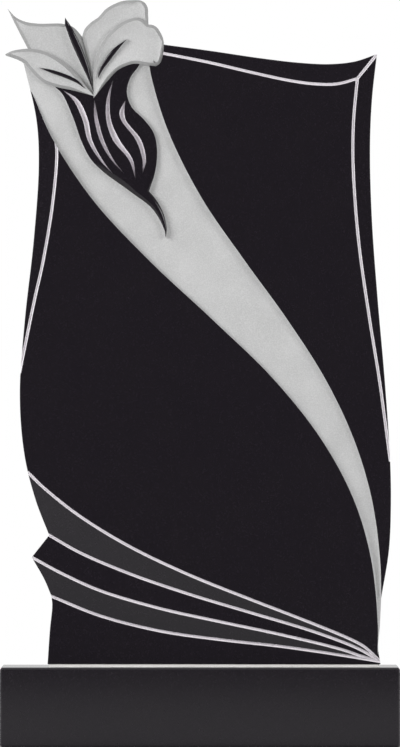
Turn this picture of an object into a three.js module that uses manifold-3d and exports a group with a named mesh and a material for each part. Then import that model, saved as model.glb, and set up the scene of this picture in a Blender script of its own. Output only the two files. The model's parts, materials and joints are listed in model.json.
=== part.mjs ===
// An upright headstone: a black stele with a carved lily and a long sunk ribbon, on a plain base block.
// Millimetres, Z up. The carved face looks along -Y, and the base stands centred on the origin.

import * as THREE from 'three';
import { mergeVertices } from 'three/addons/utils/BufferGeometryUtils.js';
import Module from 'manifold-3d';

const wasm = await Module();
wasm.setup();

// The two stones and the joint between them
const BASE_WIDTH = 600;
const BASE_DEPTH = 200;
const BASE_HEIGHT = 120;
const BASE_ARRIS = 3;
const JOINT_HEIGHT = 3.6;
const JOINT_RECESS = 1.5;
const FIT_GAP = 0.3;
const STELE_WIDTH = 580;
const STELE_HEIGHT = 1000;
const STELE_THICKNESS = 80;
const STELE_SHIFT = -3;

// The polished border and the pleats at the foot
const BORDER_SLOPE = 0.24;
const PLEAT_DEPTH = 9;
const PLEAT_CREST = 0.8;
const PLEAT_RUN = 60;
const LINE_WIDTH = 4.3;
const LINE_DEPTH = 3;

// The lily and the ribbon: depths below the polished face
const RIM_WIDTH = 4.5;
const RIM_DROP = 2.5;
const RIBBON_ROOT_DEPTH = 7;
const RIBBON_DEPTH = 4;
const RIBBON_HOLLOW = 2.5;
const TUBE_ROUND = 3;
const FLUTE_DEPTH = 4.5;
const FLUTE_HOLLOW = 2.5;
const STAMEN_ROUND = 2;
const RIB_ROUND = 1;

// How far a cut runs past an open edge, and past the front and back of the stone
const SPILL = 2;
const CLEAR = 20;

// Corners closer than this are one corner.
const WELD = 0.02;

// A point of the stele: thousandths of its width from the left, thousandths of its height from the foot.
const at = (across, up) => new THREE.Vector3(STELE_WIDTH * (across / 1000 - 0.5), 0, STELE_HEIGHT * up / 1000);

// A smooth line through the given points, cut into equal steps.
function line(steps, ...points) {
  const curve = new THREE.CatmullRomCurve3(points.map(([across, up]) => at(across, up)), false, 'centripetal');
  return curve.getSpacedPoints(steps);
}

const straight = (steps, from, to) => new THREE.LineCurve3(at(...from), at(...to)).getSpacedPoints(steps);
const chain = (first, ...others) => others.reduce((all, next) => [...all, ...next.slice(1)], first);
const reversed = (points) => [...points].reverse();

// The same line moved sideways, to the left of its own direction as seen from the front. "reach" can give
// a share of the distance for each point.
function offset(points, distance, reach = () => 1) {
  return points.map((point, i) => {
    const before = points[Math.max(i - 1, 0)];
    const after = points[Math.min(i + 1, points.length - 1)];
    const along = after.clone().sub(before).setLength(distance * reach(i));
    return new THREE.Vector3(point.x - along.z, 0, point.z + along.x);
  });
}

// The same line, begun or ended a little further out.
function longer(points, start, end) {
  const [first, second] = points;
  const [beforeLast, last] = points.slice(-2);
  const out = (from, to, distance) => to.clone().add(to.clone().sub(from).setLength(distance));
  const head = start > 0 ? [out(second, first, start)] : [];
  const tail = end > 0 ? [out(beforeLast, last, end)] : [];
  return [...head, ...points, ...tail];
}

// The corners of the stone's outline, and where its border lines meet one another and the edge
const TOP_CORNER = [964, 918];
const RIGHT_HIP = [975, 100];
const RIGHT_TOE = [973, 0];
const LEFT_TOE = [110, 0];
const LOWER_NOTCH = [120, 102];
const PLEAT_POINT = [69, 161];
const UPPER_NOTCH = [114, 194];
const BORDER_CORNER = [913, 881];
const BORDER_CLOSE = [998, 307];

// Outline of the stone's plain body, clockwise from the lily, whose petals stand over its first corner.
const topEdge = line(16, [375, 935], [531, 923], [660, 912], [764, 905], [842, 903], [907, 907], TOP_CORNER);
const rightEdge = line(28, TOP_CORNER, [951, 849], [946, 774], [951, 668], [966, 548], [984, 428],
  BORDER_CLOSE, [1000, 240], [995, 172], RIGHT_HIP);
const rightFoot = line(6, RIGHT_HIP, [971, 55], [967, 25], RIGHT_TOE);
const leftFoot = line(6, LEFT_TOE, [116, 52], [122, 88], LOWER_NOTCH);
const lowerPleatEdge = line(4, LOWER_NOTCH, [102, 127], PLEAT_POINT);
const upperPleatEdge = straight(2, PLEAT_POINT, UPPER_NOTCH);
const leftEdge = line(26, UPPER_NOTCH, [79, 247], [50, 315], [38, 405], [51, 518], [74, 638], [87, 751],
  [81, 819], [46, 909]);

// Border lines: each runs beside one edge of the stone and closes on it at its far end.
const topLine = line(16, [375, 923], [531, 905], [634, 891], [738, 878], [803, 873], [860, 873],
  BORDER_CORNER);
const mitreLine = straight(4, BORDER_CORNER, TOP_CORNER);
const rightLine = line(20, BORDER_CORNER, [903, 816], [902, 751], [916, 638], [945, 518], [970, 428],
  BORDER_CLOSE);
const leftLine = line(16, [110, 880], [130, 792], [134, 771], [124, 698], [99, 608], [76, 548], [38, 440]);

// Pleat lines: valley and crest in turn, from the left edge to one point at the right foot.
const PLEAT_END = [973, 4];
const faceLine = line(20, [60, 288], [103, 264], [193, 223], [323, 177], [479, 134], [634, 98], [790, 63],
  [894, 38], [932, 26], PLEAT_END);
const upperValley = line(20, UPPER_NOTCH, [193, 168], [323, 136], [479, 105], [634, 78], [790, 51], [894, 29],
  [932, 18.5], PLEAT_END);
const crestLine = line(20, PLEAT_POINT, [142, 138], [245, 111], [401, 84], [557, 64], [712, 45], [868, 23],
  [925, 12], PLEAT_END);
const lowerValley = line(20, LOWER_NOTCH, [245, 73], [401, 50], [557, 37], [712, 27], [868, 14], PLEAT_END);
const footLine = offset(straight(20, LEFT_TOE, RIGHT_TOE), -SPILL);

// The lily's petals spring from one place. Each has two sides, left and right as seen from its root.
const FRONT_ROOT = [229, 851];
const LOW_ROOT = [231.5, 854.5];
const BACK_ROOT = [230.5, 854];
const frontTop = line(12, [371.5, 962.5], [380.5, 962], [391.5, 959], [403.5, 949.5], [410.5, 939],
  [411.5, 928.5], [408.5, 915], [401.5, 904], [391, 899.5]);
const frontPetal = {
  left: chain(line(14, FRONT_ROOT, [228, 884], [233, 907.5], [249, 932.5], [280, 955.5], [315.5, 969],
    [341.5, 973], [357, 970], [371.5, 962.5]), frontTop.slice(0, 7)),
  right: chain(line(14, FRONT_ROOT, [263.5, 876], [292, 893.5], [315.5, 900.5], [336, 903.5], [362, 901.5],
    [391, 899.5]), reversed(frontTop.slice(6))),
};
const lowPetal = {
  left: line(16, LOW_ROOT, [176.5, 863], [128.5, 869], [97.5, 876], [73.5, 888.5], [48, 905], [32.5, 910.5],
    [0, 917.5]),
  right: line(16, LOW_ROOT, [184.5, 886.5], [152, 905], [105.5, 921], [64, 926], [38, 925], [17, 922.5],
    [0, 917.5]),
};
const tallTop = line(18, [199.5, 944], [205.5, 955], [222, 965.5], [241.5, 973.5], [260.5, 985.5],
  [280, 992.5], [305, 998], [328.5, 999.4], [349.5, 999], [361.5, 995.5], [369, 988.5], [370.5, 976.5],
  [371.5, 950]);
const tallPetal = {
  left: chain(line(6, BACK_ROOT, [220, 895.5], [208, 925.5], [199.5, 944]), tallTop.slice(0, 13)),
  right: chain(line(12, BACK_ROOT, [252, 890], [300, 930], [371.5, 950]), reversed(tallTop.slice(12))),
};
const backPetal = {
  left: chain(line(12, BACK_ROOT, [150, 885], [66, 918]), line(6, [66, 918], [32.5, 955.5], [6.5, 986])),
  right: chain(line(6, BACK_ROOT, [228, 890], [216, 922], [207, 936]), line(12, [207, 936], [199.5, 944],
    [176.5, 958.5], [152, 963.5], [84.5, 964], [51, 967], [27.5, 973.5], [6.5, 986])),
};

// The stamen between the petals and the rib in each front petal, from tip to root.
const stamen = {
  left: line(10, [155.5, 973], [173, 957.5], [188.5, 940.5], [201, 924.5], [211.5, 907.5], [222, 886.5],
    [230, 859.5]),
  right: line(10, [155.5, 973], [155, 962.5], [160.5, 953], [171, 936], [192, 909], [215, 880.5],
    [230, 859.5]),
};
const lowRib = {
  left: line(8, [87, 897.5], [115.5, 895], [145.5, 890], [171, 884], [191, 877], [207, 866]),
  right: line(8, [87, 897.5], [115.5, 890.5], [155.5, 882], [185, 874.5], [207, 866]),
};
const frontRib = {
  left: line(8, [315.5, 940.5], [289.5, 922], [271, 908], [253, 894], [240.5, 881]),
  right: line(8, [315.5, 940.5], [280, 925.5], [256.5, 908], [242, 891], [240.5, 881]),
};

// The lily's tube under the petals and the flutes in it, from top to tip.
const tube = {
  left: chain(line(16, [366, 922], [345, 899], [324.5, 882.5], [315.5, 861], [327, 839], [362, 818],
    [385.5, 798.5], [394, 770.5], [388, 739], [373, 711.5]), line(6, [373, 711.5], [393, 697.5],
    [411.5, 676.5], [419, 655], [416.5, 641.5])),
  right: line(22, [110, 885], [128, 869.5], [148, 858], [179, 818], [197, 788], [220.5, 761], [253, 741.5],
    [324.5, 711], [383, 684], [412.5, 653.5], [416.5, 641.5]),
};
const flutes = [
  {
    left: line(10, [148.5, 864], [189.5, 849], [215, 818.5], [225.5, 788.5], [252.5, 758.5], [280.5, 737]),
    right: line(10, [148.5, 864], [176, 849], [201, 818.5], [214, 788.5], [245.5, 758.5], [280.5, 737]),
  },
  {
    left: line(10, [231, 849], [236, 836], [241.5, 818.5], [256, 788.5], [281.5, 758.5], [309, 738]),
    right: line(10, [231, 849], [230.5, 836], [232, 818.5], [245.5, 788.5], [275.5, 758.5], [309, 738]),
  },
  {
    left: line(10, [280.5, 880.5], [271.5, 849], [274.5, 818.5], [297, 788.5], [331, 758.5], [338.5, 728.5]),
    right: line(10, [280.5, 880.5], [263, 849], [262.5, 818.5], [279.5, 788.5], [321, 758.5], [338.5, 728.5]),
  },
  {
    left: line(10, [311.5, 848], [309, 831], [313, 818.5], [352.5, 788.5], [365, 758.5], [356, 737.5]),
    right: line(10, [311.5, 848], [296.5, 831], [301, 818.5], [339, 788.5], [356, 758.5], [356, 737.5]),
  },
];

// The ribbon runs from under the petals down to the right foot.
const RIBBON_TIP = [965, 14];
const ribbon = {
  left: chain(line(29, [374, 912], [374, 900], [395, 849], [432, 789], [513, 698], [620, 608], [732, 518],
    [831, 428], [905, 337], [951, 247], [972, 157], RIGHT_HIP), line(3, RIGHT_HIP, [982, 50], RIBBON_TIP)),
  right: chain(line(2, [36, 915], [52, 880], [73, 855]), line(30, [73, 855], [124, 789], [228, 698],
    [372, 608], [538, 518], [697, 428], [821, 337], [904, 247], [949, 157], [966, 59], RIBBON_TIP)),
};

// A closed triangle mesh as a solid that can be joined and cut.
function solid(geometry) {
  geometry.deleteAttribute('normal');
  geometry.deleteAttribute('uv');
  const merged = mergeVertices(geometry, 1e-4);
  const corners = merged.index.array;
  const triangles = [];
  for (let i = 0; i < corners.length; i += 3) {
    const [a, b, c] = corners.slice(i, i + 3);
    if (a !== b && b !== c && c !== a) triangles.push(a, b, c);
  }
  return new wasm.Manifold(new wasm.Mesh({
    numProp: 3,
    vertProperties: new Float32Array(merged.attributes.position.array),
    triVerts: new Uint32Array(triangles),
  }));
}

function mesh(name, shape, material) {
  const { vertProperties, triVerts } = shape.getMesh();
  const geometry = new THREE.BufferGeometry();
  geometry.setAttribute('position', new THREE.BufferAttribute(vertProperties, 3));
  geometry.setIndex(new THREE.BufferAttribute(triVerts, 1));
  const flat = geometry.toNonIndexed();
  flat.computeVertexNormals();
  const result = new THREE.Mesh(flat, material);
  result.name = name;
  return result;
}

// The area inside a closed line, as thick as the stele and by "margin" more at the front and the back.
function prism(points, margin = 0) {
  const shape = new THREE.Shape(points.map((point) => new THREE.Vector2(point.x, point.z)));
  const depth = STELE_THICKNESS + 2 * margin;
  const geometry = new THREE.ExtrudeGeometry(shape, { depth, bevelEnabled: false, steps: 1 });
  geometry.rotateX(Math.PI / 2);
  geometry.translate(0, depth / 2, 0);
  return solid(geometry);
}

const outline = ({ left, right }) => [...left, ...reversed(right)];
const leafPrism = (leaf, margin) => prism(outline(leaf), margin);

// A cutter with its carved side towards the stone. Rows run along it, and each row lists its points from
// left to right, with the height of the stone that is left there above the polished face, so below it is
// negative.
function cutter(rows) {
  const wide = rows[0].length;
  const face = -STELE_THICKNESS / 2;
  const carved = rows.flat().flatMap(({ point, height }) => [point.x, face - height, point.z]);
  const front = rows.flat().flatMap(({ point }) => [point.x, face - CLEAR, point.z]);
  const over = rows.length * wide;
  const triangles = [];
  const quad = (a, b, c, d) => triangles.push(a, b, c, b, d, c);
  for (let i = 0; i + 1 < rows.length; i += 1) {
    for (let j = 0; j + 1 < wide; j += 1) {
      const a = i * wide + j;
      quad(a, a + wide, a + 1, a + wide + 1);
      quad(over + a, over + a + 1, over + a + wide, over + a + wide + 1);
    }
    const [start, end] = [i * wide, i * wide + wide - 1];
    quad(start, over + start, start + wide, over + start + wide);
    quad(end, end + wide, over + end, over + end + wide);
  }
  const last = over - wide;
  for (let j = 0; j + 1 < wide; j += 1) {
    quad(j, j + 1, over + j, over + j + 1);
    quad(last + j, over + last + j, last + j + 1, over + last + j + 1);
  }
  const geometry = new THREE.BufferGeometry();
  geometry.setAttribute('position', new THREE.Float32BufferAttribute([...carved, ...front], 3));
  geometry.setIndex(triangles);
  return solid(geometry);
}

// A surface between the two sides of a leaf. "height" takes the share of the way from left to right, the
// share of the way along, and the width there. It runs past both sides by a share of the spill.
function leafCut(leaf, across, height, reach = () => 1) {
  const steps = leaf.left.length - 1;
  const outerLeft = offset(leaf.left, SPILL, reach);
  const outerRight = offset(leaf.right, -SPILL, reach);
  return cutter(leaf.left.map((left, i) => {
    const right = leaf.right[i];
    const width = left.distanceTo(right);
    const row = Array.from({ length: across + 1 }, (_, j) => ({
      point: left.clone().lerp(right, j / across),
      height: height(j / across, i / steps, width),
    }));
    const start = { point: outerLeft[i], height: row[0].height };
    const end = { point: outerRight[i], height: row[across].height };
    return [start, ...row, end];
  }));
}

// Nothing at a petal's root, and all of a distance a few steps further on.
const fromRoot = (i) => Math.min(i / 4, 1);

const hump = (share) => 4 * share * (1 - share);

// A petal is hollow between its sides, as deep as its width allows, and its rim falls away all round.
function petalCut(leaf, edge, hollow) {
  const dish = (s, t, width) => -edge - hump(s) * Math.min(hollow, width / 8);
  const fall = RIM_DROP / RIM_WIDTH;
  const rim = (side, outward) => {
    const inner = offset(side, -outward * RIM_WIDTH, fromRoot);
    const outer = offset(side, outward * SPILL, fromRoot);
    const row = side.map((_, i) => [
      { point: outer[i], height: -edge - fromRoot(i) * fall * (RIM_WIDTH + SPILL) },
      { point: inner[i], height: -edge },
    ]);
    return cutter(outward > 0 ? row : row.map(([a, b]) => [b, a]));
  };
  return leafCut(leaf, 6, dish, fromRoot).add(rim(leaf.left, 1)).add(rim(leaf.right, -1));
}

// A stem, rib or tube keeps the polished face along its middle and rounds off to both sides, with the cube of
// the distance from the middle.
const roundCut = (leaf, across, top, round) => leafCut(leaf, across, (s, t, width) => {
  const fall = Math.abs(2 * s - 1) ** 3;
  return -top - Math.min(round, width / 3) * fall;
});

// A narrow line cut in the face, V-shaped. "ground" is the height of the surface that it is cut in.
function lineCut(points, ground = () => 0) {
  const above = 0.2;
  const half = LINE_WIDTH / 2 * (1 + above);
  const [left, right] = [offset(points, half), offset(points, -half)];
  return cutter(points.map((point, i) => {
    const level = ground(i / (points.length - 1));
    return [
      { point: left[i], height: level + LINE_DEPTH * above },
      { point, height: level - LINE_DEPTH },
      { point: right[i], height: level + LINE_DEPTH * above },
    ];
  }));
}

// How far a point of the stone's edge lies below the face: the border's slope times the distance from its
// line, which is taken to run on straight past its ends.
function borderFall(point, inner) {
  const run = longer(inner, STELE_WIDTH, STELE_WIDTH);
  return BORDER_SLOPE * Math.min(...run.slice(1).map((end, i) => {
    const closest = new THREE.Line3(run[i], end).closestPointToPoint(point, true, new THREE.Vector3());
    return closest.distanceTo(point);
  }));
}

// The border slopes down from its line to the edge of the stone, always at the same angle.
function borderCut(edge, inner) {
  const outer = offset(edge, SPILL);
  return cutter(edge.map((point, i) => {
    const out = outer[i].clone().sub(inner[i]);
    const fall = borderFall(point, inner);
    const reach = Math.max(point.distanceTo(inner[i]), SPILL);
    const slope = Math.max(fall / reach, BORDER_SLOPE / 2);
    const back = inner[i].clone().addScaledVector(out.normalize(), -SPILL);
    return [
      { point: outer[i], height: -fall - slope * SPILL },
      { point, height: -fall },
      { point: back, height: slope * SPILL },
    ];
  }));
}

// The pleats fall and rise between their lines and fade out where these meet.
function pleatCut() {
  const rails = [faceLine, upperValley, crestLine, lowerValley, footLine];
  const depths = [0, PLEAT_DEPTH, PLEAT_CREST, PLEAT_DEPTH, PLEAT_CREST];
  const rows = faceLine.map((_, i) => {
    const share = i / (faceLine.length - 1);
    return rails.map((rail, j) => ({ point: rail[i], height: -depths[j] * (1 - share) }));
  });
  const before = rows[0].map(({ point, height }, j) => {
    const out = point.clone().sub(rails[j][1]).setLength(PLEAT_RUN);
    return { point: point.clone().add(out), height };
  });
  return cutter([before, ...rows]);
}

// Which areas show on the face: what stands in front takes its area from what lies behind.
const area = (leaf) => leafPrism(leaf, 2 * CLEAR);
const petals = [frontPetal, lowPetal, tallPetal, backPetal];
const [frontArea, lowArea, tallArea, backArea] = petals.map(area);
const petalArea = frontArea.add(lowArea).add(tallArea).add(backArea);
const stamenArea = area(stamen);
const ribArea = area(lowRib).add(area(frontRib));
const tubeArea = area(tube).subtract(petalArea).subtract(stamenArea);
const bodyOutline = chain(topEdge, rightEdge, rightFoot, straight(1, RIGHT_TOE, LEFT_TOE), leftFoot,
  lowerPleatEdge, upperPleatEdge, leftEdge);
const carvedArea = petalArea.add(stamenArea).add(area(ribbon));
const faceArea = prism(bodyOutline, 2 * CLEAR).subtract(carvedArea);
const polishedArea = faceArea.add(tubeArea).add(stamenArea).add(ribArea);

const carving = [
  petalCut(frontPetal, 1.5, 6),
  petalCut(lowPetal, 1.5, 5).subtract(frontArea),
  petalCut(tallPetal, 5.5, 4).subtract(frontArea).subtract(lowArea),
  petalCut(backPetal, 8, 3).subtract(frontArea).subtract(lowArea).subtract(tallArea),
  leafCut(ribbon, 4, (s, t, width) => {
    const grown = THREE.MathUtils.smoothstep(t, 0.1, 0.6);
    const depth = THREE.MathUtils.lerp(RIBBON_ROOT_DEPTH, RIBBON_DEPTH, grown);
    return -Math.min(depth, 1 + width / 12) - hump(s) * Math.min(RIBBON_HOLLOW, width / 12);
  }).subtract(petalArea),
].map((cut) => cut.subtract(polishedArea));

const rounding = [
  roundCut(tube, 8, 0.3, TUBE_ROUND).subtract(petalArea),
  roundCut(stamen, 4, 1, STAMEN_ROUND),
  roundCut(lowRib, 4, 0.3, RIB_ROUND),
  roundCut(frontRib, 4, 0.3, RIB_ROUND),
];

const fluting = flutes.map((flute) => leafCut(flute, 2, (s, t, width) => {
  const hollow = Math.min(FLUTE_HOLLOW, width / 2);
  return -FLUTE_DEPTH - hump(s) * hollow;
}, () => 0)).map((cut) => cut.subtract(petalArea));

const valley = (share) => -PLEAT_DEPTH * (1 - share);
const borders = [
  borderCut(topEdge, topLine),
  borderCut(rightEdge.slice(0, rightLine.length), rightLine),
  borderCut(leftEdge.slice(-leftLine.length), reversed(leftLine)),
  lineCut(topLine),
  lineCut(longer(mitreLine, 0, SPILL), (share) => -share * borderFall(mitreLine.at(-1), topLine)),
  lineCut(longer(rightLine, 0, SPILL)),
  lineCut(longer(leftLine, 0, SPILL)),
].map((cut) => cut.subtract(carvedArea));

const pleating = [
  pleatCut(),
  lineCut(longer(faceLine, SPILL, 0)),
  lineCut(longer(upperValley, SPILL, 0), valley),
  lineCut(longer(crestLine, SPILL, 0), (share) => -PLEAT_CREST * (1 - share)),
  lineCut(longer(lowerValley, SPILL, 0), valley),
].map((cut) => cut.subtract(carvedArea));

const blank = [prism(bodyOutline), ...petals.map((leaf) => leafPrism(leaf)), leafPrism(stamen)]
  .reduce((all, next) => all.add(next));
const cuts = [...carving, ...rounding, ...fluting, ...borders, ...pleating];
const carved = blank.subtract(cuts.reduce((all, next) => all.add(next))).setTolerance(WELD);

// Where two cuts meet, a crumb can be left over: the stone is the largest body.
const steleSolid = carved.decompose().reduce((one, other) => (one.volume() > other.volume() ? one : other));

const polishedStone = new THREE.MeshStandardMaterial({ color: 0x201b21, roughness: 0.12, metalness: 0 });
const jointCompound = new THREE.MeshStandardMaterial({ color: 0xe6e2dc, roughness: 0.8, metalness: 0 });

const stele = mesh('stele', steleSolid, polishedStone);
stele.position.set(STELE_SHIFT, 0, BASE_HEIGHT + JOINT_HEIGHT);

// The base block: an arris is taken off all its edges.
function block(width, depth, height, arris) {
  const [x, y] = [width / 2 - arris, depth / 2 - arris];
  const corners = [[-x, -y], [x, -y], [x, y], [-x, y]];
  const plan = new THREE.Shape(corners.map((corner) => new THREE.Vector2(...corner)));
  const geometry = new THREE.ExtrudeGeometry(plan, {
    depth: height - 2 * arris,
    bevelEnabled: true,
    bevelThickness: arris,
    bevelSize: arris,
    bevelSegments: 1,
  });
  geometry.translate(0, 0, arris);
  return solid(geometry);
}
const base = mesh('base', block(BASE_WIDTH, BASE_DEPTH, BASE_HEIGHT, BASE_ARRIS), polishedStone);

// The bed fills the joint, a little back from the faces of the stele.
function bedGeometry() {
  const [from, to] = [at(...LEFT_TOE).x + JOINT_RECESS, at(...RIGHT_TOE).x - JOINT_RECESS];
  const depth = STELE_THICKNESS - 2 * JOINT_RECESS;
  const geometry = new THREE.BoxGeometry(to - from, depth, JOINT_HEIGHT - 2 * FIT_GAP);
  return geometry.translate((from + to) / 2, 0, 0);
}
const bed = new THREE.Mesh(bedGeometry(), jointCompound);
bed.name = 'setting_bed';
bed.position.set(STELE_SHIFT, 0, BASE_HEIGHT + JOINT_HEIGHT / 2);

const group = new THREE.Group();
group.add(base, bed, stele);

export default group;
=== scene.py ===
"""An upright headstone of black gabbro: a carved stele with a lily and a long sunk ribbon, on a low block.

The stele is a flat slab sawn to its outline. What stays black keeps the polished face of the slab, and what
is pale is cut below that face. Every cut is a tool with a carved side: a grid of points across the face,
each with the height of the stone that is left there. The tools are joined, and taken from the slab once.
"""

import json

import bpy
import numpy as np
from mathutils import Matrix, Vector

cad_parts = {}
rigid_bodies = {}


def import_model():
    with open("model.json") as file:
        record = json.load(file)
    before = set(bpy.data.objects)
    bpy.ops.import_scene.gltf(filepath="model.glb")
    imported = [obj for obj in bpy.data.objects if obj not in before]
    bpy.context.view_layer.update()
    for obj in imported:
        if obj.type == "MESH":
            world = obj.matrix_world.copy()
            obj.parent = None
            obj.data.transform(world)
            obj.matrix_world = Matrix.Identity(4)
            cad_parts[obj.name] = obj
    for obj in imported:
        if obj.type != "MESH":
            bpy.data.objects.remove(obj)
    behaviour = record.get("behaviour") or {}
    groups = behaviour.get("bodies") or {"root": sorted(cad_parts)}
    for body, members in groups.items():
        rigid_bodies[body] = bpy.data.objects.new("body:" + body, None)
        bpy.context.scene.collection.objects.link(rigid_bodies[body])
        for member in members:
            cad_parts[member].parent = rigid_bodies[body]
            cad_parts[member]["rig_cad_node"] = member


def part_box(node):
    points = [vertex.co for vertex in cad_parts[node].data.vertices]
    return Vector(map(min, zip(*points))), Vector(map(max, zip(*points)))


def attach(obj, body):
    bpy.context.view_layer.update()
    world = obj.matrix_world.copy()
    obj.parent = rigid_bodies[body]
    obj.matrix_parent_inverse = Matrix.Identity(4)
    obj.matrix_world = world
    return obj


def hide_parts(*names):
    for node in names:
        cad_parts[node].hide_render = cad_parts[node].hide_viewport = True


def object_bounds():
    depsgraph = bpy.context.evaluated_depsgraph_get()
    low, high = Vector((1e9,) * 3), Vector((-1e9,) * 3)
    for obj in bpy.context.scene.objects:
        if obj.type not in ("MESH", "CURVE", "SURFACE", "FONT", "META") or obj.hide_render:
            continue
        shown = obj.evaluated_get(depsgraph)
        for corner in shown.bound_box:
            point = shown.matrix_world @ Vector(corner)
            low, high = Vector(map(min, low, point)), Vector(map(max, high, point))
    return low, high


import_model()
cad_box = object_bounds()

MM = 0.001

# The places and sizes of the three pieces come from the frame.
STELE_LOW, STELE_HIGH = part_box("stele")
BASE_LOW, BASE_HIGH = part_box("base")
BED_LOW, BED_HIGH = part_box("setting_bed")
FACE = STELE_LOW.y
BACK = STELE_HIGH.y

# The polished border and the pleats at the foot. A border's fall is measured from its line, run on straight
# by BORDER_RUN at both ends and cut into RUN_POINTS steps.
BORDER_SLOPE = 0.24
BORDER_RUN = 200 * MM
RUN_POINTS = 3000
PLEAT_DEPTH = 9 * MM
PLEAT_CREST = 0.8 * MM
PLEAT_RUN = 60 * MM
LINE_WIDTH = 4.3 * MM
LINE_DEPTH = 3 * MM
MITRE_SLOPE = 0.19

# The lily and the ribbon: depths below the polished face
RIM_WIDTH = 4.5 * MM
RIM_DROP = 2.5 * MM
RIBBON_ROOT_DEPTH = 7 * MM
RIBBON_DEPTH = 4 * MM
RIBBON_TIP_DEPTH = 1 * MM
RIBBON_RISE = (0.1, 0.6)
RIBBON_HOLLOW = 2.5 * MM
TUBE_TOP = 0.3 * MM
TUBE_ROUND = 3 * MM
FLUTE_DEPTH = 4.5 * MM
FLUTE_HOLLOW = 2.5 * MM
STAMEN_TOP = 1 * MM
STAMEN_ROUND = 2 * MM
RIB_TOP = 0.3 * MM
RIB_ROUND = 1 * MM

# The petals from front to back: how deep each one's edge lies, and how hollow it is between its rims
PETALS = (
    ("front_petal", 1.5 * MM, 6 * MM),
    ("low_petal", 1.5 * MM, 5 * MM),
    ("tall_petal", 5.5 * MM, 4 * MM),
    ("back_petal", 8 * MM, 3 * MM),
)

# A rim takes at most this part of its leaf's width, and grows to it over these steps of the plain outline.
RIM_PART = 1 / 4
RIM_STEPS = 4

# A narrow cut is a shallow one: how many times as wide as deep each cut is at least
DISH_FLATNESS = 8
RIBBON_FLATNESS = 12
FLUTE_FLATNESS = 2
ROUND_FLATNESS = 3

# Arrises of the base block and of the stele, and the rounding on those of the base
BASE_ARRIS = 3 * MM
STELE_ARRIS = 0.8 * MM
ARRIS_SOFTENING = 0.5 * MM

# The compound in the joint, and how close it comes to both stones
JOINT_CONTACT = 0.02 * MM
BED_CORNER = 2 * MM
BED_CORNER_POINTS = 7
BED_STEPS = 600
BED_LEVELS = 7
BED_HOLLOW = 0.5 * MM

# The camera's distance, and how far below the stone's middle the picture's middle lies
CAMERA_DISTANCE = 20.0
PICTURE_DROP = 0.8 * MM

# How far a cut runs past an open edge, past the front and back of the stone, and under a deeper cut beside
# it. A V-shaped line is cut wider and higher than it shows, by the share ABOVE.
SPILL = 2 * MM
CLEAR = 20 * MM
TUCK = 1 * MM
ABOVE = 0.2

# Steps of a line for each step of the plain outline, and points on each span before they are evened out
FINE = 5
SPAN_POINTS = 40

# Corners closer than this are one corner, a crease is sharper than this, and a wall's normal leans to the
# front or back by less than this.
WELD = 0.01 * MM
CREASE = np.radians(9)
UPRIGHT = 0.1


def at(shares):
    """Points of the stele in metres, from thousandths of its width from the left and of its height."""
    shares = np.asarray(shares, float).reshape(-1, 2) / 1000
    low = np.array([STELE_LOW.x, STELE_LOW.z])
    return low + shares * (np.array([STELE_HIGH.x, STELE_HIGH.z]) - low)


def even(steps, points):
    """The same line, cut into equal steps of its own length."""
    reach = np.append(0, np.cumsum(np.linalg.norm(np.diff(points, axis=0), axis=1)))
    share = np.linspace(0, reach[-1], steps + 1)
    return np.column_stack([np.interp(share, reach, points[:, axis]) for axis in (0, 1)])


def line(steps, *shares):
    """A smooth line through the given points.

    Each span is the cubic that leaves and reaches its two points at their slopes. The slope at a point
    weighs the chords before and after it by the square roots of their lengths, and the end chords are
    mirrored.
    """
    knots = at(shares)
    knots = np.vstack([2 * knots[0] - knots[1], knots, 2 * knots[-1] - knots[-2]])
    a, b, c, d = (knots[i:len(knots) - 3 + i, None] for i in range(4))
    before, span, after = (np.sqrt(np.linalg.norm(q - p, axis=2, keepdims=True))
                           for p, q in ((a, b), (b, c), (c, d)))
    leave = ((b - a) / before - (c - a) / (before + span) + (c - b) / span) * span
    arrive = ((c - b) / span - (d - b) / (span + after) + (d - c) / after) * span
    t = np.linspace(0, 1, SPAN_POINTS, endpoint=False)[None, :, None]
    rise = 3 * t ** 2 - 2 * t ** 3
    curve = b * (1 - rise) + c * rise + leave * (t ** 3 - 2 * t ** 2 + t) + arrive * (t ** 3 - t ** 2)
    return even(steps * FINE, np.vstack([curve.reshape(-1, 2), knots[-2]]))


def straight(steps, start, end):
    return even(steps * FINE, at([start, end]))


def chain(first, *others):
    return np.vstack([first, *(points[1:] for points in others)])


def direction(points):
    """The unit vector along the line at each of its points."""
    along = np.gradient(points, axis=0)
    return along / np.linalg.norm(along, axis=1, keepdims=True)


def offset(points, distance):
    """The line moved sideways, to the left of its own direction as seen from the front."""
    along = direction(points)
    return points + np.column_stack([-along[:, 1], along[:, 0]]) * np.reshape(distance, (-1, 1))


def longer(points, start, end):
    """The same line with its first and last points moved out along it."""
    moved = points.copy()
    for last, inner, reach in ((0, 1, start), (-1, -2, end)):
        outward = points[last] - points[inner]
        moved[last] += outward / np.linalg.norm(outward) * reach
    return moved


# The corners of the stone's outline, and where its border lines meet one another and the edge
TOP_CORNER = [964, 918]
RIGHT_HIP = [975, 100]
RIGHT_TOE = [973, 0]
LEFT_TOE = [110, 0]
LOWER_NOTCH = [120, 102]
PLEAT_POINT = [69, 161]
UPPER_NOTCH = [114, 194]
BORDER_CORNER = [913, 881]
BORDER_CLOSE = [998, 307]

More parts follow.
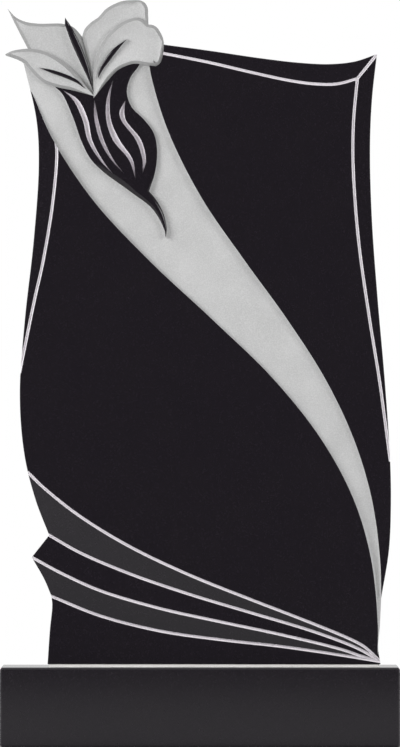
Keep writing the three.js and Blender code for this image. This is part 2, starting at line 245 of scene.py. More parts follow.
# Outline of the stone's plain body, clockwise from the lily, whose petals stand over its first corner.
top_edge = line(16, [375, 935], [531, 923], [660, 912], [764, 905], [842, 903], [907, 907], TOP_CORNER)
right_edge = line(28, TOP_CORNER, [951, 849], [946, 774], [951, 668], [966, 548], [984, 428],
                  BORDER_CLOSE, [1000, 240], [995, 172], RIGHT_HIP)
right_foot = line(6, RIGHT_HIP, [971, 55], [967, 25], RIGHT_TOE)
left_foot = line(6, LEFT_TOE, [116, 52], [122, 88], LOWER_NOTCH)
lower_pleat_edge = line(4, LOWER_NOTCH, [102, 127], PLEAT_POINT)
upper_pleat_edge = straight(2, PLEAT_POINT, UPPER_NOTCH)
left_edge = line(26, UPPER_NOTCH, [79, 247], [50, 315], [38, 405], [51, 518], [74, 638], [87, 751],
                 [81, 819], [46, 909])
body_outline = chain(top_edge, right_edge, right_foot, at([RIGHT_TOE, LEFT_TOE]), left_foot,
                     lower_pleat_edge, upper_pleat_edge, left_edge)

# Border lines: each runs beside one edge of the stone and closes on it at its far end.
top_line = line(16, [375, 923], [531, 905], [634, 891], [738, 878], [803, 873], [860, 873],
                BORDER_CORNER)
mitre_line = straight(4, BORDER_CORNER, TOP_CORNER)
right_line = line(20, BORDER_CORNER, [903, 816], [902, 751], [916, 638], [945, 518], [970, 428],
                  BORDER_CLOSE)
left_line = line(16, [110, 880], [130, 792], [134, 771], [124, 698], [99, 608], [76, 548], [38, 440])

# Pleat lines: valley and crest in turn, from the left edge to one point at the right foot.
PLEAT_END = [973, 4]
face_line = line(20, [60, 288], [103, 264], [193, 223], [323, 177], [479, 134], [634, 98], [790, 63],
                 [894, 38], [932, 26], PLEAT_END)
upper_valley = line(20, UPPER_NOTCH, [193, 168], [323, 136], [479, 105], [634, 78], [790, 51], [894, 29],
                    [932, 18.5], PLEAT_END)
crest_line = line(20, PLEAT_POINT, [142, 138], [245, 111], [401, 84], [557, 64], [712, 45], [868, 23],
                  [925, 12], PLEAT_END)
lower_valley = line(20, LOWER_NOTCH, [245, 73], [401, 50], [557, 37], [712, 27], [868, 14], PLEAT_END)
foot_line = offset(straight(20, LEFT_TOE, RIGHT_TOE), -SPILL)

# A leaf is a pair of sides, left and right as seen from its root. The lily's petals spring from one place.
FRONT_ROOT = [229, 851]
LOW_ROOT = [231.5, 854.5]
BACK_ROOT = [230.5, 854]
front_top = line(12, [371.5, 962.5], [380.5, 962], [391.5, 959], [403.5, 949.5], [410.5, 939],
                 [411.5, 928.5], [408.5, 915], [401.5, 904], [391, 899.5])
front_half = 6 * FINE
front_petal = (
    chain(line(14, FRONT_ROOT, [228, 884], [233, 907.5], [249, 932.5], [280, 955.5], [315.5, 969],
               [341.5, 973], [357, 970], [371.5, 962.5]), front_top[:front_half + 1]),
    chain(line(14, FRONT_ROOT, [263.5, 876], [292, 893.5], [315.5, 900.5], [336, 903.5], [362, 901.5],
               [391, 899.5]), front_top[:front_half - 1:-1]),
)
low_petal = (
    line(16, LOW_ROOT, [176.5, 863], [128.5, 869], [97.5, 876], [73.5, 888.5], [48, 905], [32.5, 910.5],
         [0, 917.5]),
    line(16, LOW_ROOT, [184.5, 886.5], [152, 905], [105.5, 921], [64, 926], [38, 925], [17, 922.5],
         [0, 917.5]),
)
tall_top = line(18, [199.5, 944], [205.5, 955], [222, 965.5], [241.5, 973.5], [260.5, 985.5], [280, 992.5],
                [305, 998], [328.5, 999.4], [349.5, 999], [361.5, 995.5], [369, 988.5], [370.5, 976.5],
                [371.5, 950])
tall_most = 12 * FINE
tall_petal = (
    chain(line(6, BACK_ROOT, [220, 895.5], [208, 925.5], [199.5, 944]), tall_top[:tall_most + 1]),
    chain(line(12, BACK_ROOT, [252, 890], [300, 930], [371.5, 950]), tall_top[:tall_most - 1:-1]),
)
back_petal = (
    chain(line(12, BACK_ROOT, [150, 885], [66, 918]), line(6, [66, 918], [32.5, 955.5], [6.5, 986])),
    chain(line(6, BACK_ROOT, [228, 890], [216, 922], [207, 936]), line(12, [207, 936], [199.5, 944],
          [176.5, 958.5], [152, 963.5], [84.5, 964], [51, 967], [27.5, 973.5], [6.5, 986])),
)

# The stamen between the petals and the rib in each front petal, from tip to root.
stamen = (
    line(10, [155.5, 973], [173, 957.5], [188.5, 940.5], [201, 924.5], [211.5, 907.5], [222, 886.5],
         [230, 859.5]),
    line(10, [155.5, 973], [155, 962.5], [160.5, 953], [171, 936], [192, 909], [215, 880.5],
         [230, 859.5]),
)
low_rib = (
    line(8, [87, 897.5], [115.5, 895], [145.5, 890], [171, 884], [191, 877], [207, 866]),
    line(8, [87, 897.5], [115.5, 890.5], [155.5, 882], [185, 874.5], [207, 866]),
)
front_rib = (
    line(8, [315.5, 940.5], [289.5, 922], [271, 908], [253, 894], [240.5, 881]),
    line(8, [315.5, 940.5], [280, 925.5], [256.5, 908], [242, 891], [240.5, 881]),
)

# The lily's tube under the petals and the flutes in it, from top to tip.
tube = (
    chain(line(16, [366, 922], [345, 899], [324.5, 882.5], [315.5, 861], [327, 839], [362, 818],
               [385.5, 798.5], [394, 770.5], [388, 739], [373, 711.5]),
          line(6, [373, 711.5], [393, 697.5], [411.5, 676.5], [419, 655], [416.5, 641.5])),
    line(22, [110, 885], [128, 869.5], [148, 858], [179, 818], [197, 788], [220.5, 761], [253, 741.5],
         [324.5, 711], [383, 684], [412.5, 653.5], [416.5, 641.5]),
)
flutes = [
    (line(10, [148.5, 864], [189.5, 849], [215, 818.5], [225.5, 788.5], [252.5, 758.5], [280.5, 737]),
     line(10, [148.5, 864], [176, 849], [201, 818.5], [214, 788.5], [245.5, 758.5], [280.5, 737])),
    (line(10, [231, 849], [236, 836], [241.5, 818.5], [256, 788.5], [281.5, 758.5], [309, 738]),
     line(10, [231, 849], [230.5, 836], [232, 818.5], [245.5, 788.5], [275.5, 758.5], [309, 738])),
    (line(10, [280.5, 880.5], [271.5, 849], [274.5, 818.5], [297, 788.5], [331, 758.5], [338.5, 728.5]),
     line(10, [280.5, 880.5], [263, 849], [262.5, 818.5], [279.5, 788.5], [321, 758.5], [338.5, 728.5])),
    (line(10, [311.5, 848], [309, 831], [313, 818.5], [352.5, 788.5], [365, 758.5], [356, 737.5]),
     line(10, [311.5, 848], [296.5, 831], [301, 818.5], [339, 788.5], [356, 758.5], [356, 737.5])),
]

# The ribbon runs from under the petals down to the right foot.
RIBBON_TIP = [965, 14]
ribbon = (
    chain(line(29, [374, 912], [374, 900], [395, 849], [432, 789], [513, 698], [620, 608], [732, 518],
               [831, 428], [905, 337], [951, 247], [972, 157], RIGHT_HIP),
          line(3, RIGHT_HIP, [982, 50], RIBBON_TIP)),
    chain(line(2, [36, 915], [52, 880], [73, 855]),
          line(30, [73, 855], [124, 789], [228, 698], [372, 608], [538, 518], [697, 428], [821, 337],
               [904, 247], [949, 157], [966, 59], RIBBON_TIP)),
)


def linear(hex_colour):
    """An sRGB hex colour as linear red, green and blue, with a full alpha."""
    srgb = np.array([int(hex_colour[i:i + 2], 16) for i in (1, 3, 5)]) / 255
    low = srgb / 12.92
    high = ((srgb + 0.055) / 1.055) ** 2.4
    return (*np.where(srgb <= 0.04045, low, high), 1.0)


def node(tree, kind, inputs=None, **settings):
    """Adds a node, sets its properties, and sets or links its inputs by name or number."""
    new = tree.nodes.new(kind)
    for name, value in settings.items():
        setattr(new, name, value)
    for name, value in (inputs or {}).items():
        if isinstance(value, bpy.types.NodeSocket):
            tree.links.new(value, new.inputs[name])
        else:
            new.inputs[name].default_value = value
    return new


def material(name, colour, **shader):
    """A material with one Principled shader. Returns it, its tree, that shader and the object's place."""
    made = bpy.data.materials.new(name)
    made.use_nodes = True
    made.diffuse_color = linear(colour)
    tree = made.node_tree
    principled = tree.nodes["Principled BSDF"]
    for socket, value in shader.items():
        principled.inputs[socket.replace("_", " ")].default_value = value
    place = node(tree, "ShaderNodeTexCoord").outputs["Object"]
    return made, tree, principled, place


def polished_gabbro():
    """Gabbro, sawn and polished: near black, with a wet gloss. Crystals of dark felspar 1 to 2 mm across
    show only as a faint fleck."""
    crystal = 1.5 * MM
    cloud = 60 * MM
    made, tree, shader, place = material("polished_gabbro", "#201B21", IOR=1.5)
    cells = node(tree, "ShaderNodeTexVoronoi", {"Vector": place, "Scale": 1 / crystal}, feature="F1")
    fleck = node(tree, "ShaderNodeMapRange",
                 {"Value": cells.outputs["Color"], "From Min": 0.55, "From Max": 1.0}, clamp=True)
    drift = node(tree, "ShaderNodeTexNoise", {"Vector": place, "Scale": 1 / cloud, "Detail": 3.0})
    body = node(tree, "ShaderNodeMix",
                {0: drift.outputs["Fac"], 6: linear("#17131A"), 7: linear("#1B171C")}, data_type="RGBA")
    colour = node(tree, "ShaderNodeMix",
                  {0: fleck.outputs["Result"], 6: body.outputs[2], 7: linear("#241F26")}, data_type="RGBA")
    tree.links.new(colour.outputs[2], shader.inputs["Base Color"])
    gloss = node(tree, "ShaderNodeMapRange",
                 {"Value": fleck.outputs["Result"], "To Min": 0.08, "To Max": 0.14})
    tree.links.new(gloss.outputs["Result"], shader.inputs["Roughness"])
    return made


def ground_gabbro(name, light, dark, grain, depth, roughness):
    """Gabbro cut below the polish and left ground: bruised crystals scatter the light, so it is pale and
    dull, with a grain of pits and a slow drift from darker to lighter."""
    cloud = 45 * MM
    made, tree, shader, place = material(name, light, IOR=1.5, Roughness=roughness)
    pits = node(tree, "ShaderNodeTexNoise",
                {"Vector": place, "Scale": 1 / grain, "Detail": 4.0, "Roughness": 0.6})
    crystals = node(tree, "ShaderNodeTexVoronoi", {"Vector": place, "Scale": 0.6 / grain})
    drift = node(tree, "ShaderNodeTexNoise", {"Vector": place, "Scale": 1 / cloud, "Detail": 2.0})
    speckle = node(tree, "ShaderNodeMath", {0: pits.outputs["Fac"], 1: crystals.outputs["Distance"]},
                   operation="ADD")
    both = node(tree, "ShaderNodeMath", {0: speckle.outputs["Value"], 1: drift.outputs["Fac"]},
                operation="ADD")
    share = node(tree, "ShaderNodeMapRange",
                 {"Value": both.outputs["Value"], "From Min": 0.9, "From Max": 1.9})
    colour = node(tree, "ShaderNodeMix", {0: share.outputs["Result"], 6: linear(dark), 7: linear(light)},
                  data_type="RGBA")
    tree.links.new(colour.outputs[2], shader.inputs["Base Color"])
    bump = node(tree, "ShaderNodeBump",
                {"Height": speckle.outputs["Value"], "Distance": depth, "Strength": 0.8})
    tree.links.new(bump.outputs["Normal"], shader.inputs["Normal"])
    return made


def setting_compound():
    """Pale setting compound, pressed out and struck off: a chalky surface with fine sand in it."""
    sand = 0.8 * MM
    made, tree, shader, place = material("struck_compound", "#F1EFEB", Roughness=0.85)
    grit = node(tree, "ShaderNodeTexNoise", {"Vector": place, "Scale": 1 / sand, "Detail": 3.0})
    colour = node(tree, "ShaderNodeMix",
                  {0: grit.outputs["Fac"], 6: linear("#DDD9D3"), 7: linear("#FFFFFF")}, data_type="RGBA")
    tree.links.new(colour.outputs[2], shader.inputs["Base Color"])
    bump = node(tree, "ShaderNodeBump", {"Height": grit.outputs["Fac"], "Distance": 0.2 * MM})
    tree.links.new(bump.outputs["Normal"], shader.inputs["Normal"])
    return made


def pale_floor():
    """Pale studio floor, painted matt, with the slightest mottle."""
    patch = 500 * MM
    made, tree, shader, place = material("painted_floor", "#BEBEBE", Roughness=0.9)
    mottle = node(tree, "ShaderNodeTexNoise", {"Vector": place, "Scale": 1 / patch})
    colour = node(tree, "ShaderNodeMix",
                  {0: mottle.outputs["Fac"], 6: linear("#BCBCBC"), 7: linear("#C0C0C0")}, data_type="RGBA")
    tree.links.new(colour.outputs[2], shader.inputs["Base Color"])
    return made


# The stone's finishes: its polished faces, the ground petals and ribbon, the petals' rims, which are honed
# finer and whose colour is darkened further as painted shade where the rims fall away from the face, and the
# incised lines and flutes, where the stone is bruised most. Each of the last three has its light and dark
# colours, the size of its grain, the depth of its pits, and its roughness.
POLISHED = polished_gabbro()
GROUND = ground_gabbro("ground_gabbro", "#CDCDCD", "#B7B7B7", 1.1 * MM, 0.2 * MM, 0.9)
# The rims' colours are darker than honed stone alone would be: painted shade, standing for the shade on rims
# that fall away.
HONED_SHADED = ground_gabbro("honed_shaded_gabbro", "#A6A6A6", "#989898", 1.2 * MM, 0.1 * MM, 0.6)
INCISED = ground_gabbro("incised_gabbro", "#EBE7EB", "#DAD5DA", 1.2 * MM, 0.15 * MM, 0.9)
COMPOUND = setting_compound()
FLOOR = pale_floor()
FINISHES = [POLISHED, GROUND, HONED_SHADED, INCISED, COMPOUND, FLOOR]


def piece(name, vertices, faces, finish):
    """A mesh object of the given corners and faces. "faces" is a list of arrays, each of faces with as many
    corners, and "finish" one of the finishes, or one for each array."""
    kinds = finish if isinstance(finish, list) else [finish] * len(faces)
    mesh = bpy.data.meshes.new(name)
    mesh.from_pydata(vertices.tolist(), [], [face for block in faces for face in block.tolist()])
    for kind in FINISHES:
        mesh.materials.append(kind)
    index = np.concatenate([np.full(len(block), FINISHES.index(kind))
                            for block, kind in zip(faces, kinds)])
    mesh.polygons.foreach_set("material_index", index.astype(np.int32))
    made = bpy.data.objects.new(name, mesh)
    bpy.context.scene.collection.objects.link(made)
    return made


def widths(leaf):
    """How wide a leaf is at each of its steps."""
    left, right = leaf
    return np.linalg.norm(right - left, axis=1)


def outline(leaf, inset=0.0):
    """Both sides of a leaf as one closed line, without the corners that they share. An inset moves both
    sides inwards, and by less where the leaf is narrow."""
    left, right = leaf
    step = np.minimum(inset, widths(leaf) * RIM_PART)
    closed = np.vstack([offset(left, -step), offset(right, step)[::-1]])
    apart = np.linalg.norm(closed - np.roll(closed, 1, axis=0), axis=1) > WELD
    return closed[apart]


def prism(name, points, margin=0.0, walls=GROUND):
    """The area inside a closed line, as thick as the stele and by "margin" more at the front and the back:
    the line at the front, the same line at the back, and a wall between each pair of neighbours."""
    count = len(points)
    area = np.sum(points[:, 0] * np.roll(points[:, 1], -1) - points[:, 1] * np.roll(points[:, 0], -1))
    if area < 0:
        points = points[::-1]
    sides = [np.column_stack([points[:, 0], np.full(count, depth), points[:, 1]])
             for depth in (FACE - margin, BACK + margin)]
    i = np.arange(count)
    after = np.roll(i, -1)
    caps = np.vstack([i, i[::-1] + count])
    return piece(name, np.vstack(sides), [caps, np.column_stack([i + count, after + count, after, i])],
                 [POLISHED, walls])


def cutter(name, points, height, finish):
    """A tool with its carved side towards the stone. "points" is a grid across the face, with rows along the
    tool and points from left to right. The carved side lies at the face less its height, the front is a copy
    of the grid held clear of the face, and walls join the two round the grid's border."""
    rows, columns = height.shape
    carved = np.dstack([points[..., 0], FACE - height, points[..., 1]])
    front = np.dstack([points[..., 0], np.full_like(height, FACE - CLEAR), points[..., 1]])
    i = np.arange(rows * columns).reshape(rows, columns)
    quads = np.stack([i[:-1, :-1], i[:-1, 1:], i[1:, 1:], i[1:, :-1]], axis=2).reshape(-1, 4)
    border = np.concatenate([i[0], i[1:, -1], i[-1, -2::-1], i[-2:0:-1, 0]])
    after = np.roll(border, -1)
    over = rows * columns
    walls = np.column_stack([border, after, after + over, border + over])
    return piece(name, np.vstack([carved.reshape(-1, 3), front.reshape(-1, 3)]),
                 [quads[:, ::-1], quads + over, walls], finish)


def boolean(target, operation, *tools):
    """The target joined with the tools, or cut by them, as one new mesh. A cut has its tool's finish."""
    for tool in tools:
        step = target.modifiers.new(tool.name, "BOOLEAN")
        step.operation = operation
        step.solver = "MANIFOLD"
        step.material_mode = "TRANSFER"
        step.object = tool
    bpy.context.view_layer.update()
    graph = bpy.context.evaluated_depsgraph_get()
    shape = bpy.data.meshes.new_from_object(target.evaluated_get(graph))
    target.modifiers.clear()
    target.data = shape
    return target


def union(name, *parts):
    """A new piece that holds all the parts."""
    first = parts[0].copy()
    first.name = name
    bpy.context.scene.collection.objects.link(first)
    return boolean(first, "UNION", *parts[1:])


def less(target, *tools):
    return boolean(target, "DIFFERENCE", *tools)


def hump(share):
    """Nothing at both sides, and one in the middle, as a parabola."""
    return 4 * share * (1 - share)


def from_root(steps):
    """Nothing at a leaf's root, and one from a few steps further on."""
    return np.minimum(np.arange(steps) / (RIM_STEPS * FINE), 1)


def leaf_cut(name, leaf, across, height, finish, reach=1.0):
    """A surface between the two sides of a leaf. "height" takes the share of the way from left to right, the
    share of the way along, and the width there. Past both sides it runs on level, by "reach" spills."""
    left, right = leaf
    width = widths(leaf)[:, None]
    along = np.linspace(0, 1, len(left))[:, None]
    share = np.linspace(0, 1, across + 1)[None, :]
    level = np.broadcast_to(height(share, along, width), (len(left), across + 1))
    inside = left[:, None] + (right - left)[:, None] * share[..., None]
    points = np.concatenate([offset(left, SPILL * reach)[:, None], inside,
                             offset(right, -SPILL * reach)[:, None]], axis=1)
    return cutter(name, points, np.column_stack([level[:, 0], level, level[:, -1]]), finish)


def petal_cut(name, leaf, edge, hollow, across=20):
    """A petal is hollow between its rims, as deep as its width allows, and its rim falls away all round. The
    rims run a little further in than they show, where they rise above the hollow."""
    left, right = leaf
    spread = from_root(len(left))
    fall = RIM_DROP / RIM_WIDTH
    rim = np.minimum(RIM_WIDTH, widths(leaf) * RIM_PART) * spread
    inside = (offset(left, -rim), offset(right, rim))

    def dish(share, along, width):
        return -edge - hump(share) * hollow * np.tanh(width / DISH_FLATNESS / hollow)

    def rim_cut(side, outward):
        inner = offset(side, -outward * (RIM_WIDTH + TUCK) * spread)
        outer = offset(side, outward * SPILL * spread)
        level = -edge - spread[:, None] * fall * np.array([RIM_WIDTH + SPILL, -TUCK])
        order = slice(None, None, int(outward))
        # The rims' darker finish is partly honed stone and partly painted shade along their fall.
        return cutter(f"{name}_rim", np.stack([outer, inner], axis=1)[:, order], level[:, order], HONED_SHADED)

    return union(name, leaf_cut(name, inside, across, dish, GROUND, rim / SPILL + spread / 2),
                 rim_cut(left, 1), rim_cut(right, -1))


def round_cut(name, leaf, top, depth, across=24, reach=1.0):
    """A stem, rib or tube keeps the face along its middle and rounds off to both sides, with the cube of the
    distance from the middle."""
    def bow(share, along, width):
        return -top - np.minimum(depth, width / ROUND_FLATNESS) * np.abs(2 * share - 1) ** 3
    return leaf_cut(name, leaf, across, bow, POLISHED, reach)


def line_cut(name, points, ground=0.0, rises=(0.0, 0.0)):
    """A V-shaped line in the face, of the same width everywhere. "ground" is the height of the surface that
    it is cut in, and "rises" that surface's slopes to the left and to the right. Each wall runs from the
    bottom through the surface at half the line's width, and a little further."""
    ground = np.broadcast_to(ground, len(points))
    half = LINE_WIDTH / 2
    sides = [offset(points, sign * half * (1 + ABOVE)) for sign in (1, -1)]
    tops = [ground - LINE_DEPTH + (LINE_DEPTH + rise * half) * (1 + ABOVE) for rise in rises]
    grid = np.stack([sides[0], points, sides[1]], axis=1)
    return cutter(name, grid, np.column_stack([tops[0], ground - LINE_DEPTH, tops[1]]), INCISED)


def border_fall(edge, inner):
    """How far the edge of the stone lies below the face: the border's slope times the distance from the
    nearest point of its line, which is taken to run on straight past its ends."""
    run = even(RUN_POINTS, longer(inner, BORDER_RUN, BORDER_RUN))
    return BORDER_SLOPE * np.linalg.norm(edge[:, None] - run[None], axis=2).min(axis=1)


def border_cut(name, edge, inner):
    """The border slopes down from its line to the edge of the stone, always at the same angle."""
    outer = offset(edge, SPILL)
    fall = border_fall(edge, inner)
    reach = np.maximum(np.linalg.norm(edge - inner, axis=1), SPILL)
    slope = np.maximum(fall / reach, BORDER_SLOPE / 2)
    out = outer - inner
    back = inner - out / np.linalg.norm(out, axis=1, keepdims=True) * SPILL
    return cutter(name, np.stack([outer, edge, back], axis=1),
                  np.column_stack([-fall - slope * SPILL, -fall, slope * SPILL]), POLISHED)


def pleats():
    """The pleats fall and rise between their lines and fade out where these meet: a line's height is its
    depth times the share of the way that is left, and the surface between two lines is straight. Returns the
    tool for the pleats and the tools for their lines."""
    rails = [face_line, upper_valley, crest_line, lower_valley, foot_line]
    depths = [0, PLEAT_DEPTH, PLEAT_CREST, PLEAT_DEPTH, PLEAT_CREST]
    left = 1 - np.linspace(0, 1, len(face_line))
    heights = [-depth * left for depth in depths]
    starts = [longer(rail, PLEAT_RUN, 0)[:1] for rail in rails]
    points = np.stack([np.vstack([start, rail]) for start, rail in zip(starts, rails)], axis=1)
    levels = np.column_stack([np.append(height[0], height) for height in heights])
    tools = [cutter("pleats", points, levels, POLISHED)]

    def rise(here, there):
        """The slope from one rail to its neighbour, square to the first."""
        along = direction(rails[here])
        gap = rails[there] - rails[here]
        across = np.abs(along[:, 0] * gap[:, 1] - along[:, 1] * gap[:, 0])
        return (heights[there] - heights[here]) / np.maximum(across, LINE_WIDTH)

    for i, name in enumerate(["face_line", "upper_valley", "crest_line", "lower_valley"]):
        above = rise(i, i - 1) if i else 0.0
        tools.append(line_cut(name, longer(rails[i], SPILL, 0), heights[i], (above, rise(i, i + 1))))
    return tools


def carving_cuts():
    """All cuts of the front. What stands in front takes its area from what lies behind. A cut whose edge is
    hidden by a deeper one beside it runs a little under that one, so that no two walls share a place."""
    margin = 2 * CLEAR
    leaves = {"front_petal": front_petal, "low_petal": low_petal, "tall_petal": tall_petal,
              "back_petal": back_petal, "stamen": stamen, "ribbon": ribbon}

    def area(name, inset=0.0):
        return prism(f"{name}_area", outline(leaves[name], inset), margin)

    *petal_areas, stamen_area, ribbon_area = map(area, leaves)
    petal_area = union("petal_area", *petal_areas)
    carved_area = union("carved_area", petal_area, stamen_area, ribbon_area)
    inner_areas = [area(name, TUCK) for name in leaves]
    rib_areas = [prism("rib_area", outline(rib), margin) for rib in (low_rib, front_rib)]
    tube_area = less(prism("tube_area", outline(tube), margin), petal_area, stamen_area)
    face_area = less(prism("face_area", body_outline, margin), carved_area)
    polished_area = union("polished_area", face_area, tube_area, stamen_area, *rib_areas)

    def ribbon_floor(share, along, width):
        """The ribbon is deepest under the lily and rises from there along a smooth step."""
        start, end = RIBBON_RISE
        way = np.clip((along - start) / (end - start), 0, 1)
        way = way * way * (3 - 2 * way)
        depth = RIBBON_ROOT_DEPTH + (RIBBON_DEPTH - RIBBON_ROOT_DEPTH) * way
        allowed = width / RIBBON_FLATNESS
        edge = np.minimum(depth, RIBBON_TIP_DEPTH + allowed)
        return -edge - hump(share) * np.minimum(RIBBON_HOLLOW, allowed)

    def flute_floor(share, along, width):
        return -FLUTE_DEPTH - hump(share) * np.minimum(FLUTE_HOLLOW, width / FLUTE_FLATNESS)

    cuts = [less(petal_cut(name, leaves[name], edge, hollow), *petal_areas[:i], polished_area)
            for i, (name, edge, hollow) in enumerate(PETALS)]
    cuts.append(less(leaf_cut("ribbon", ribbon, 14, ribbon_floor, GROUND), petal_area, polished_area))
    cuts.append(less(round_cut("tube", tube, TUBE_TOP, TUBE_ROUND), *inner_areas[:len(PETALS)]))
    cuts += [round_cut(name, leaf, top, depth, across=10, reach=0.1) for name, leaf, top, depth in (
        ("stamen", stamen, STAMEN_TOP, STAMEN_ROUND), ("low_rib", low_rib, RIB_TOP, RIB_ROUND),
        ("front_rib", front_rib, RIB_TOP, RIB_ROUND))]
    cuts += [leaf_cut("flute", flute, 8, flute_floor, INCISED, reach=0) for flute in flutes]
    corner_fall = border_fall(top_edge[-1:], top_line)[0]
    borders = [
        border_cut("top_border", top_edge, top_line),
        border_cut("right_border", right_edge[:len(right_line)], right_line),
        border_cut("left_border", left_edge[-len(left_line):], left_line[::-1]),
        line_cut("top_line", top_line, 0, (-BORDER_SLOPE, 0)),
        line_cut("mitre_line", longer(mitre_line, 0, SPILL),
                 -corner_fall * np.linspace(0, 1, len(mitre_line)), (-MITRE_SLOPE, -MITRE_SLOPE)),
        line_cut("right_line", longer(right_line, 0, SPILL), 0, (-BORDER_SLOPE, 0)),
        line_cut("left_line", longer(left_line, 0, SPILL), 0, (0, -BORDER_SLOPE)),
    ]
    return cuts + [less(tool, *inner_areas) for tool in borders + pleats()]


def set_creases(mesh):
    """Smooth shading, with a crease where two faces meet at more than the crease angle."""
    mesh.shade_smooth()
    mesh.set_sharp_from_angle(angle=CREASE)


def values(items, name, kind, size=1):
    """One property of all these items, as a list, or as rows of the given size."""
    found = np.zeros(len(items) * size, kind)
    items.foreach_get(name, found)
    return found.reshape(-1, size) if size > 1 else found


def outer_arrises(mesh):
    """Weighs the polished edges that run round the stone's outline, at the front and at the back: an edge of
    a wall that reaches the back, unless it runs from front to back itself."""
    depth = values(mesh.vertices, "co", np.float32, 3)[:, 1]
    normal = values(mesh.polygons, "normal", np.float32, 3)
    total = values(mesh.polygons, "loop_total", np.int32)
    finish = values(mesh.polygons, "material_index", np.int32)
    corner = values(mesh.loops, "vertex_index", np.int32)
    side = values(mesh.loops, "edge_index", np.int32)
    owner = np.repeat(np.arange(len(total)), total)
    reaches = np.zeros(len(total), bool)
    np.logical_or.at(reaches, owner, depth[corner] > BACK - WELD)
    polished = finish == FINISHES.index(POLISHED)
    wall = reaches & polished & (np.abs(normal[:, 1]) < UPRIGHT)
    walls_at = np.bincount(side[wall[owner]], minlength=len(mesh.edges))
    polished_at = np.bincount(side[polished[owner]], minlength=len(mesh.edges))
    weight = mesh.attributes.new("bevel_weight_edge", "FLOAT", "EDGE")
    weight.data.foreach_set("value", ((walls_at == 1) & (polished_at == 2)).astype(np.float32))


def bevel(target, width, segments, **settings):
    """An arris of this width along the edges that the settings choose."""
    step = target.modifiers.new("arris", "BEVEL")
    step.width = width
    step.segments = segments
    for name, value in settings.items():
        setattr(step, name, value)


def stele():
    """The slab with its petals, less all its cuts. Its polished outer edges have a fine arris."""
    slab = prism("stele_stone", body_outline, 0, POLISHED)
    grown = [prism("petal_blank", outline(leaf)) for leaf in
             (front_petal, low_petal, tall_petal, back_petal, stamen)]
    boolean(slab, "UNION", *grown)
    less(slab, union("all_cuts", *carving_cuts()))
    outer_arrises(slab.data)
    bevel(slab, STELE_ARRIS, 1, limit_method="WEIGHT", use_clamp_overlap=False)
    boolean(slab, "UNION")
    for tool in [o for o in bpy.context.scene.objects if o.type == "MESH" and "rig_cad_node" not in o]:
        if tool != slab:
            bpy.data.objects.remove(tool)
    return slab


def base():
    """A plain block, twelve edges with an arris, each arris with its own two edges just broken."""
    low, high = np.array(BASE_LOW), np.array(BASE_HIGH)
    corners = np.array([[0, 0, 0], [1, 0, 0], [1, 1, 0], [0, 1, 0],
                        [0, 0, 1], [1, 0, 1], [1, 1, 1], [0, 1, 1]])
    faces = np.array([[3, 2, 1, 0], [4, 5, 6, 7], [0, 1, 5, 4], [1, 2, 6, 5], [2, 3, 7, 6], [3, 0, 4, 7]])
    block = piece("base_stone", low + corners * (high - low), [faces], POLISHED)
    bevel(block, BASE_ARRIS, 1, limit_method="ANGLE")
    bevel(block, ARRIS_SOFTENING, 3, limit_method="ANGLE")
    return boolean(block, "UNION")


def setting_bed():
    """The compound fills the joint: a profile with a hollow outer side, carried round the edge of the
    stele's foot. The hollow is a parabola across the joint's height, and its depth drifts along the joint as
    a sum of three waves, as a struck joint's does."""
    middle = (np.array(BED_LOW) + np.array(BED_HIGH)) / 2
    half = (np.array(BED_HIGH) - np.array(BED_LOW))[:2] / 2
    bottom, top = BASE_HIGH.z + JOINT_CONTACT, STELE_LOW.z - JOINT_CONTACT
    quarter = np.linspace(0, np.pi / 2, BED_CORNER_POINTS)
    turns = np.concatenate([quarter + side * np.pi / 2 for side in range(4)])
    signs = np.repeat(np.array([[1, 1], [-1, 1], [-1, -1], [1, -1]]), BED_CORNER_POINTS, axis=0)
    ring = signs * (half - BED_CORNER) + BED_CORNER * np.column_stack([np.cos(turns), np.sin(turns)])
    ring = even(BED_STEPS, np.vstack([ring, ring[:1]]))[:-1]
    angle = np.arange(len(ring)) * 2 * np.pi / len(ring)
    drift = sum(np.sin(angle * waves + phase) for waves, phase in ((7, 0.0), (17, 1.3), (41, 4.1))) / 3
    inward = offset(np.vstack([ring, ring[:1]]), 1.0)[:-1] - ring
    level = np.linspace(0, 1, BED_LEVELS)
    depth = hump(level)[None] * BED_HOLLOW * (1 + 0.5 * drift[:, None])
    place = ring[:, None] + inward[:, None] * depth[..., None]
    height = np.broadcast_to(bottom + (top - bottom) * level, depth.shape)
    vertices = np.dstack([place + middle[:2], height]).reshape(-1, 3)
    i = np.arange(len(vertices)).reshape(len(ring), BED_LEVELS)
    after = np.roll(i, -1, axis=0)
    quads = np.stack([i[:, :-1], after[:, :-1], after[:, 1:], i[:, 1:]], axis=2).reshape(-1, 4)
    return piece("setting_joint", vertices, [quads, i[::-1, 0][None], i[:, -1][None]], COMPOUND)


def studio_floor():
    """A round floor. Its far edge hides behind the base, as the photograph's camera sees it."""
    radius, back = 4.4, 0.5
    turn = np.linspace(0, 2 * np.pi, 96, endpoint=False)
    ring = np.column_stack([np.cos(turn) * radius, np.sin(turn) * radius + back,
                            np.full(len(turn), BASE_LOW.z)])
    floor = piece("floor", ring, [np.arange(len(turn))[None]], FLOOR)


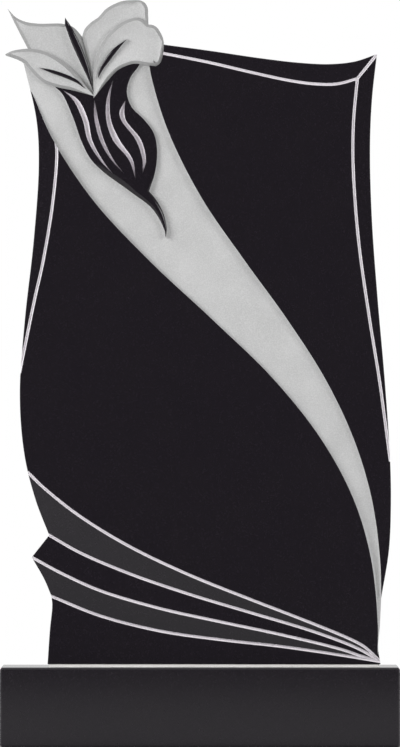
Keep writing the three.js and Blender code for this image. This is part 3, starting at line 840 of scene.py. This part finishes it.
def soft_boxes():
    """Lamps all round the stone: name, azimuth and elevation in degrees, distance and width in metres, and
    power in watts. None is seen by the camera."""
    middle = (cad_box[0] + cad_box[1]) / 2
    for name, azimuth, elevation, distance, size, power in (
            ("key", -54, 18, 6.0, 3.4, 288),
            ("fill", 57, 14, 6.0, 3.4, 183),
            ("back_left", -130, 18, 6.0, 3.4, 120),
            ("back_right", 130, 15, 6.0, 3.4, 120),
            ("top", 0, 88, 4.0, 2.4, 8)):
        lamp = bpy.data.lights.new(name, "AREA")
        lamp.energy = power
        lamp.size = size
        holder = bpy.data.objects.new(name, lamp)
        bpy.context.scene.collection.objects.link(holder)
        a, e = np.radians(azimuth), np.radians(elevation)
        towards = Vector((np.sin(a) * np.cos(e), -np.cos(a) * np.cos(e), np.sin(e)))
        holder.location = middle + towards * distance
        holder.rotation_euler = towards.to_track_quat("Z", "Y").to_euler()
        holder.visible_camera = False


def room():
    """A white backdrop for the camera, a little darker below the horizon. The stone sees a pale room behind
    it and a dim one behind the camera, so that its polished face stays black when it is seen square on."""
    white = (1, 1, 1, 1)
    dim, pale = 0.10, 0.7
    shaded = 0.8
    world = bpy.data.worlds.new("studio")
    bpy.context.scene.world = world
    world.use_nodes = True
    tree = world.node_tree
    tree.nodes.clear()
    towards = node(tree, "ShaderNodeTexCoord").outputs["Generated"]
    split = node(tree, "ShaderNodeSeparateXYZ", {"Vector": towards})
    share = node(tree, "ShaderNodeMapRange", {"Value": split.outputs["Y"], "From Min": -0.9,
                                              "From Max": 0.6, "To Min": dim, "To Max": pale},
                 interpolation_type="SMOOTHSTEP")
    light = node(tree, "ShaderNodeBackground", {"Color": white, "Strength": share.outputs["Result"]})
    below = node(tree, "ShaderNodeMapRange", {"Value": split.outputs["Z"], "From Min": -0.12,
                                              "From Max": -0.04, "To Min": shaded, "To Max": 1.0})
    backdrop = node(tree, "ShaderNodeBackground", {"Color": white, "Strength": below.outputs["Result"]})
    seen = node(tree, "ShaderNodeLightPath").outputs["Is Camera Ray"]
    both = node(tree, "ShaderNodeMixShader", {0: seen, 1: light.outputs[0], 2: backdrop.outputs[0]})
    node(tree, "ShaderNodeOutputWorld", {"Surface": both.outputs[0]})


def camera():
    """Square on and far away, as the photograph shows it. The picture is as tall as the stone."""
    lens = bpy.data.cameras.new("camera")
    holder = bpy.data.objects.new("camera", lens)
    bpy.context.scene.collection.objects.link(holder)
    bpy.context.scene.camera = holder
    low, high = cad_box
    height = high.z - low.z
    holder.location = ((low.x + high.x) / 2, FACE - CAMERA_DISTANCE, (low.z + high.z) / 2 - PICTURE_DROP)
    holder.rotation_euler = (np.pi / 2, 0, 0)
    lens.lens = lens.sensor_width * CAMERA_DISTANCE / height
    lens.clip_end = 2 * CAMERA_DISTANCE


camera()
stele_stone = stele()
base_stone = base()
joint = setting_bed()
for stone, cad_node, cad_slot in ((stele_stone, "stele", "stele_stone"),
                                  (base_stone, "base", "base_stone"),
                                  (joint, "setting_bed", "setting_compound")):
    set_creases(stone.data)
    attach(stone, "root")
    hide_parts(cad_node)
studio_floor()
soft_boxes()
room()
bpy.context.scene.view_settings.view_transform = "Standard"
